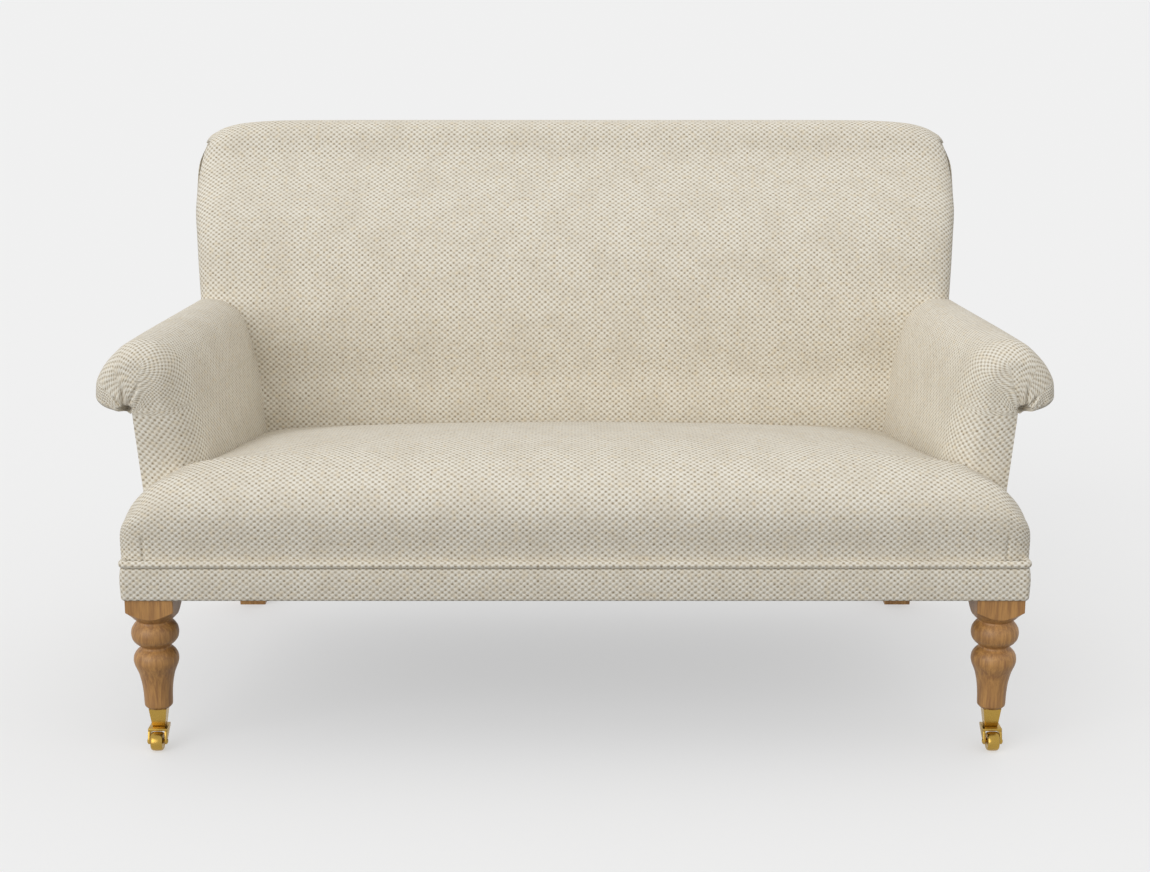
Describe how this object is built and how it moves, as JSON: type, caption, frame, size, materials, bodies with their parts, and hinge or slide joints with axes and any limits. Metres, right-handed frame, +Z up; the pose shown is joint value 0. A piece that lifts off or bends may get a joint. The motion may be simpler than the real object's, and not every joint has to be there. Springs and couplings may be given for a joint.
{
  "type": "high back settee",
  "caption": "Upholstered high back settee with a domed seat, rolled-over back, scroll arms, turned front legs on brass castors and raked rear legs.",
  "frame": {"origin": "on the floor, at the middle of the settee's width and depth", "axes": "+X towards the right end as seen from the front, the front faces -Y, +Z up"},
  "size_m": [1.4874, 0.8338, 0.9295],
  "materials": {
    "cream_weave": "matt chunky weave",
    "beech": "planed, unfinished",
    "oak": "satin",
    "brass": "polished",
    "spring_steel": "drawn wire",
    "jute": "coarse weave",
    "black_cloth": "thin non-woven"
  },
  "bodies": {
    "settee": {"arm_pad_left": "cream_weave", "arm_pad_right": "cream_weave", "arm_post_left": "beech", "arm_post_right": "beech", "arm_tack_rail_left": "beech", "arm_tack_rail_right": "beech", "arm_top_rail_left": "beech", "arm_top_rail_right": "beech", "back_centre_stay": "beech", "back_lower_rail": "beech", "back_pad": "cream_weave", "back_seat_rail": "beech", "back_strap_1": "jute", "back_strap_2": "jute", "back_strap_3": "jute", "back_strap_4": "jute", "back_strap_5": "jute", "back_strap_6": "jute", "back_top_rail": "beech", "castor_cup_left": "brass", "castor_cup_right": "brass", "castor_screw_left": "brass", "castor_screw_right": "brass", "dust_cover": "black_cloth", "front_corner_block_left": "beech", "front_corner_block_right": "beech", "front_leg_left": "oak", "front_leg_right": "oak", "front_seat_rail": "beech", "outside_arm_left": "cream_weave", "outside_arm_right": "cream_weave", "outside_back": "cream_weave", "rear_corner_block_left": "beech", "rear_corner_block_right": "beech", "rear_leg_left": "oak", "rear_leg_right": "oak", "seat_border": "cream_weave", "seat_cross_rail": "beech", "seat_pad": "cream_weave", "seat_spring_1": "spring_steel", "seat_spring_2": "spring_steel", "seat_spring_3": "spring_steel", "seat_spring_4": "spring_steel", "seat_spring_5": "spring_steel", "seat_welt": "cream_weave", "side_seat_rail_left": "beech", "side_seat_rail_right": "beech", "spring_cover": "jute"},
    "castor_left": {"castor_fork_left": "brass", "castor_axle_left": "brass"},
    "wheel_left": {"castor_wheel_left": "brass"},
    "castor_right": {"castor_fork_right": "brass", "castor_axle_right": "brass"},
    "wheel_right": {"castor_wheel_right": "brass"}
  },
  "joints": [
    {"name": "castor_swivel_left", "type": "hinge", "parent": "settee", "child": "castor_left", "pos_m": [-0.6534, -0.37126, 0.0432], "axis": [0, 0, 1], "continuous": true},
    {"name": "wheel_spin_left", "type": "hinge", "parent": "castor_left", "child": "wheel_left", "pos_m": [-0.6534, -0.39326, 0.015], "axis": [1, 0, 0], "continuous": true},
    {"name": "castor_swivel_right", "type": "hinge", "parent": "settee", "child": "castor_right", "pos_m": [0.6534, -0.37126, 0.0432], "axis": [0, 0, 1], "continuous": true},
    {"name": "wheel_spin_right", "type": "hinge", "parent": "castor_right", "child": "wheel_right", "pos_m": [0.6534, -0.39326, 0.015], "axis": [1, 0, 0], "continuous": true}
  ]
}
